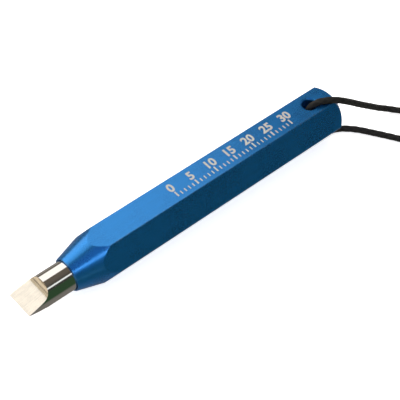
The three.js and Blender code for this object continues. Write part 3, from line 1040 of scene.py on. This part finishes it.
class ChiselCordSettings(bpy.types.PropertyGroup):
    color: FloatVectorProperty(
        name="Cord", description="Colour of the cord's yarn",
        default=(0.013, 0.0115, 0.0095), min=0, max=1, size=3, subtype="COLOR")
    tie_color: FloatVectorProperty(
        name="Band", description="Colour of the rubber band round the folds",
        default=(0.03, 0.03, 0.033), min=0, max=1, size=3, subtype="COLOR")
    braid_depth: FloatProperty(
        name="Braid Depth", description="Depth of the braid's grooves as part of the cord's radius",
        default=0.1, min=0, max=0.3, subtype="FACTOR")


class CHISEL_OT_lanyard(bpy.types.Operator):
    """Build the lanyard: its cord, its knot and the band round its folds"""
    bl_idname = "chisel.lanyard"
    bl_label = "Lanyard"

    def execute(self, context):
        settings = context.scene.chisel_cord
        path = cord_route()
        cord = braided_tube("lanyard_cord", path, settings.braid_depth)
        knot = braided_tube("lanyard_knot", knot_route(path), settings.braid_depth)
        tie = build_tie()
        yarn = braided_yarn(settings)
        paint(cord, yarn)
        paint(knot, yarn)
        paint(tie, tie_rubber(settings))
        for part, slot in ((cord, "cord"), (knot, "cord"), (tie, "tie")):
            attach(part, "handle")
        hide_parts("cord_in_hole", "cord_upper_run", "cord_lower_run", "cord_knot_lead",
                    "cord_hank")
        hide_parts("cord_knot")
        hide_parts("hank_tie")
        return {"FINISHED"}


class ChiselStudioSettings(bpy.types.PropertyGroup):
    camera_azimuth: FloatProperty(
        name="Camera Azimuth", description="Side the camera looks from, in degrees from -Y towards +X",
        default=-44.6013)
    camera_elevation: FloatProperty(
        name="Camera Elevation", description="Height of the camera above the table, in degrees",
        default=48.471)
    camera_roll: FloatProperty(
        name="Camera Roll", description="Turn of the camera about its own axis, in degrees",
        default=4.5189)
    camera_distance: FloatProperty(
        name="Camera Distance", description="From the camera to the point it looks at",
        default=233.063 * MM, unit="LENGTH")
    camera_target: FloatVectorProperty(
        name="Camera Target", description="The point that the camera looks at",
        default=(1.539 * MM, -1.979 * MM, 5.7 * MM), size=3, subtype="XYZ", unit="LENGTH")
    lens: FloatProperty(
        name="Lens", description="Focal length for a 36 mm sensor, in millimetres", default=107.662)
    key: FloatProperty(
        name="Key Light", description="Radiance of the large box behind the tool", default=1.28, min=0)
    strip: FloatProperty(
        name="Strip Light", description="Radiance of the narrow box in front", default=1.1, min=0)
    table_color: FloatVectorProperty(
        name="Table", description="Colour of the table top",
        default=(0.86, 0.86, 0.86), min=0, max=1, size=3, subtype="COLOR")


def camera_matrix(settings):
    """The camera's place from azimuth, elevation, roll and distance about its target."""
    azimuth = math.radians(settings.camera_azimuth)
    elevation = math.radians(settings.camera_elevation)
    roll = math.radians(settings.camera_roll)
    back = Vector((math.sin(azimuth) * math.cos(elevation), -math.cos(azimuth) * math.cos(elevation),
                   math.sin(elevation)))
    level = Vector((math.cos(azimuth), math.sin(azimuth), 0))
    rise = back.cross(level)
    right = level * math.cos(roll) + rise * math.sin(roll)
    matrix = Matrix((right, back.cross(right), back)).transposed().to_4x4()
    matrix.translation = Vector(settings.camera_target) + back * settings.camera_distance
    return matrix


# ---------------------------------------------------------------- studio
CARD_REACH = 3
SHADE_CARD_LEVEL = -0.5 * MM
WALL_RADIUS = 2.9
WALL_SIDES = 64
WALL_FOOT = -0.01
WALL_TOP = 4
DARK_GREEN = (0.035, 0.075, 0.036)
# Name, direction from the tool, distance, shift along x, width, height, radiance and colour.
FIXED_BOXES = (
    ("side_box", (-0.8, 0.51, 0.29), 0.5, 0, 0.25, 0.2, 0.65, (1, 0.88, 0.66)),
    ("blue_box", (-0.32, -0.42, 0.85), 0.5, 0, 0.3, 0.55, 0.38, (0.25, 0.42, 1)),
    ("nose_strip", (-0.2, -0.643, 0.766), 0.5, 0, 0.2, 0.045, 4, (1, 1, 1)),
    ("low_box", (-0.15, 0.82, 0.57), 0.5, 0, 0.3, 0.3, 0.45, (1, 1, 1)),
    ("front_fill", (-0.64, -0.68, 0.34), 0.6, 0, 0.34, 0.3, 0.55, (1, 0.88, 1)),
    ("rear_fill", (0.93, -0.25, 0.26), 0.6, 0, 0.34, 0.3, 0.45, (1, 0.88, 1)),
)


def soft_box(name, direction, distance, shift, width, height, radiance, color, glossy=True):
    """A rectangular light square to a direction at a distance, shifted along x."""
    data = bpy.data.lights.new(name, "AREA")
    data.shape = "RECTANGLE"
    data.size = width
    data.size_y = height
    data.energy = radiance * width * height * math.pi
    data.color = color
    light = bpy.data.objects.new(name, data)
    bpy.context.scene.collection.objects.link(light)
    out = Vector(direction).normalized()
    light.rotation_mode = "QUATERNION"
    light.rotation_quaternion = out.to_track_quat("Z", "Y")
    light.location = out * distance + Vector((shift, 0, 0))
    light.visible_camera = False
    light.visible_glossy = glossy


def glowing(name, color, strength):
    """A material that only shines."""
    material = bpy.data.materials.new(name)
    material.use_nodes = True
    tree = material.node_tree
    tree.nodes.clear()
    output = node(tree, "OutputMaterial")
    emission = node(tree, "Emission", {"Color": (*color, 1), "Strength": strength})
    tree.links.new(emission.outputs[0], output.inputs["Surface"])
    return material, tree, emission


def flat_card(name, level):
    """A square sheet that lies level."""
    corners = CARD_REACH * np.array([(-1, -1), (1, -1), (1, 1), (-1, 1)])
    return new_piece(name, np.column_stack([corners, np.full(4, level)]), [np.arange(4)[None]])


class CHISEL_OT_studio(bpy.types.Operator):
    """Build the table, the lights and the camera"""
    bl_idname = "chisel.studio"
    bl_label = "Studio"

    def execute(self, context):
        settings = context.scene.chisel_studio
        scene = context.scene
        scene.view_settings.view_transform = "Standard"
        camera_data = bpy.data.cameras.new("camera")
        camera_data.sensor_width = 36
        camera_data.lens = settings.lens
        camera_data.clip_start = MM
        camera_data.clip_end = 20
        camera = bpy.data.objects.new("camera", camera_data)
        camera.matrix_world = camera_matrix(settings)
        scene.collection.objects.link(camera)
        scene.camera = camera

        # The camera sees a white table; shiny surfaces see a dim one, as if shades stood round it.
        table = flat_card("table_top", 0)
        material, _tree, shader = new_material("pale_table", settings.table_color, 0, 0.7)
        shader.inputs["Emission Color"].default_value = (1, 1, 1, 1)
        shader.inputs["Emission Strength"].default_value = 0.8
        paint(table, material)
        table.visible_glossy = False
        shade = flat_card("table_shade", SHADE_CARD_LEVEL)
        material, tree, emission = glowing("dim_table", (0.3, 0.28, 0.25), 1)
        place = node(tree, "SeparateXYZ", {"Vector": node(tree, "TexCoord").outputs["Object"]}).outputs
        behind, level, before_nose = (
            fade(tree, place[axis], low * MM, high * MM)
            for axis, low, high in ((1, -16, -8), (1, -6, 6), (0, -46, -41))
        )
        color = blend_colors(tree, behind, DARK_GREEN, (0.2, 0.19, 0.17))
        color = blend_colors(tree, level, color, (0.32, 0.3, 0.27))
        color = blend_colors(tree, before_nose, (1, 0.86, 0.66), color)
        tree.links.new(color, emission.inputs["Color"])
        paint(shade, material)
        shade.visible_camera = False
        shade.visible_diffuse = False
        shade.visible_shadow = False

        # A pale wall far round the table, which only the camera sees.
        rim = arc((0, 0), WALL_RADIUS, 0, 360, WALL_SIDES)[:-1]
        corners = np.concatenate([
            np.column_stack([rim, np.full(WALL_SIDES, level)]) for level in (WALL_FOOT, WALL_TOP)
        ])
        wall = new_piece("pale_wall", corners, [quads(2, WALL_SIDES)])
        paint(wall, glowing("pale_wall", (0.9, 0.9, 0.9), 1)[0])
        wall.visible_diffuse = False
        wall.visible_glossy = False
        wall.visible_shadow = False

        world = bpy.data.worlds.new("studio")
        world.use_nodes = True
        tree = world.node_tree
        sky = node(tree, "TexCoord").outputs["Generated"]
        away = node(tree, "SeparateXYZ", {"Vector": sky}).outputs[1]
        dim, dark = fade(tree, away, -0.74, -0.1), fade(tree, away, -0.86, -0.8)
        room = blend_colors(tree, dim, (0.05, 0.05, 0.045), (0.14, 0.12, 0.095))
        room = blend_colors(tree, dark, DARK_GREEN, room)
        tree.links.new(room, tree.nodes["Background"].inputs["Color"])
        scene.world = world

        soft_box("key_box", (0, 1, 1), 0.5, -0.12, 0.8, 0.52, settings.key, (1, 0.98, 0.94))
        soft_box("strip_box", (0, -0.643, 0.766), 0.5, 0.09, 0.5, 0.09, settings.strip, (0.95, 1, 1))
        for box in FIXED_BOXES:
            soft_box(*box)
        soft_box("ceiling", (0, 0.25, 1), 1, 0, 1.6, 1.6, 1, (0.97, 0.99, 1), glossy=False)
        return {"FINISHED"}


STEPS = (
    ("chisel_studio", ChiselStudioSettings, CHISEL_OT_studio),
    ("chisel_cord", ChiselCordSettings, CHISEL_OT_lanyard),
    ("chisel_handle", ChiselHandleSettings, CHISEL_OT_handle),
    ("chisel_marks", ChiselMarksSettings, CHISEL_OT_marks),
    ("chisel_bit", ChiselBitSettings, CHISEL_OT_bit),
    ("chisel_screw", ChiselScrewSettings, CHISEL_OT_screw),
)


class CHISEL_PT_panel(bpy.types.Panel):
    """Lists the chisel's parts with their sizes and colours"""
    bl_idname = "CHISEL_PT_panel"
    bl_label = "Pocket Chisel"
    bl_space_type = "VIEW_3D"
    bl_region_type = "UI"
    bl_category = "Pocket Chisel"

    def draw(self, context):
        for name, settings_class, operator in STEPS:
            box = self.layout.box()
            settings = getattr(context.scene, name)
            for key in settings_class.__annotations__:
                box.prop(settings, key)
            box.operator(operator.bl_idname)


def register():
    for name, settings_class, operator in STEPS:
        bpy.utils.register_class(settings_class)
        bpy.utils.register_class(operator)
        setattr(bpy.types.Scene, name, PointerProperty(type=settings_class))
    bpy.utils.register_class(CHISEL_PT_panel)


def unregister():
    bpy.utils.unregister_class(CHISEL_PT_panel)
    for name, settings_class, operator in reversed(STEPS):
        delattr(bpy.types.Scene, name)
        bpy.utils.unregister_class(operator)
        bpy.utils.unregister_class(settings_class)


def main():
    register()
    bpy.ops.chisel.studio()
    bpy.ops.chisel.lanyard()
    bpy.ops.chisel.handle()
    bpy.ops.chisel.marks()
    bpy.ops.chisel.bit()
    bpy.ops.chisel.screw()


if __name__ == "__main__":
    main()
